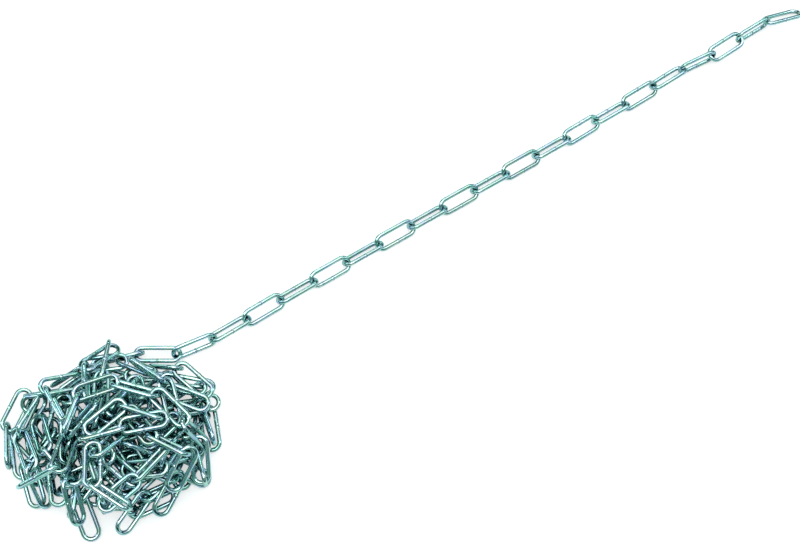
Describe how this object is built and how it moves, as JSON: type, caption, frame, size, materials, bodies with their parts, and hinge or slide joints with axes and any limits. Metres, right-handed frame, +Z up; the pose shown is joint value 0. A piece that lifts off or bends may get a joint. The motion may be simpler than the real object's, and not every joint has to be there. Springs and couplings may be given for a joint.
{
  "type": "heap of steel chain",
  "caption": "Heap of zinc-plated welded long-link steel chain lying on a floor, one end drawn out of the heap in a line.",
  "frame": {"origin": "on the floor under the middle of the heap", "axes": "+X across, the way the drawn-out run mostly goes; +Z up from the floor"},
  "size_m": [0.566, 0.4207, 0.0493],
  "materials": {
    "zinc_steel": "bright zinc plating, pale blue-green",
    "shaded_zinc": "zinc plating in shade, inside the heap"
  },
  "bodies": {
    "root": {"heap_core": "shaded_zinc", "heap_lead": "zinc_steel", "heap_bed_ring": "zinc_steel", "heap_bed_front": "zinc_steel", "heap_bed_back": "zinc_steel", "heap_bed_over": "zinc_steel", "heap_bed_cross": "zinc_steel", "heap_left_loop": "zinc_steel", "heap_left_inner": "zinc_steel", "heap_bed_left": "zinc_steel", "heap_low_hook": "zinc_steel", "heap_low_left": "zinc_steel", "heap_front_back_left": "zinc_steel", "heap_front_foot": "zinc_steel", "heap_front_right": "zinc_steel", "heap_centre_front": "zinc_steel", "heap_right_floor": "zinc_steel", "heap_right_back": "zinc_steel", "heap_bed_right": "zinc_steel", "heap_back_right": "zinc_steel", "heap_right_hook": "zinc_steel", "heap_back_low": "zinc_steel", "heap_back_left": "zinc_steel", "heap_left_mid": "zinc_steel", "heap_left_cross": "zinc_steel", "heap_back_hook": "zinc_steel", "heap_centre_left": "zinc_steel", "heap_centre_mid": "zinc_steel", "heap_centre_back": "zinc_steel", "heap_back_oval": "zinc_steel", "heap_right_side": "zinc_steel", "heap_back_top": "zinc_steel", "heap_front_wide": "zinc_steel", "heap_front_strand": "zinc_steel", "heap_front_main": "zinc_steel", "heap_right_strand": "zinc_steel", "heap_upper_left": "zinc_steel", "heap_upper_main": "zinc_steel", "heap_upper_cross": "zinc_steel", "run_link_01": "zinc_steel", "run_link_02": "zinc_steel", "run_link_03": "zinc_steel", "run_link_04": "zinc_steel", "run_link_05": "zinc_steel", "run_link_06": "zinc_steel", "run_link_07": "zinc_steel", "run_link_08": "zinc_steel", "run_link_09": "zinc_steel", "run_link_10": "zinc_steel", "run_link_11": "zinc_steel", "run_link_12": "zinc_steel", "run_link_13": "zinc_steel", "run_link_14": "zinc_steel", "run_link_15": "zinc_steel", "run_link_16": "zinc_steel", "run_link_17": "zinc_steel", "run_link_18": "zinc_steel", "run_link_19": "zinc_steel", "run_link_20": "zinc_steel", "run_link_21": "zinc_steel"}
  },
  "joints": []
}
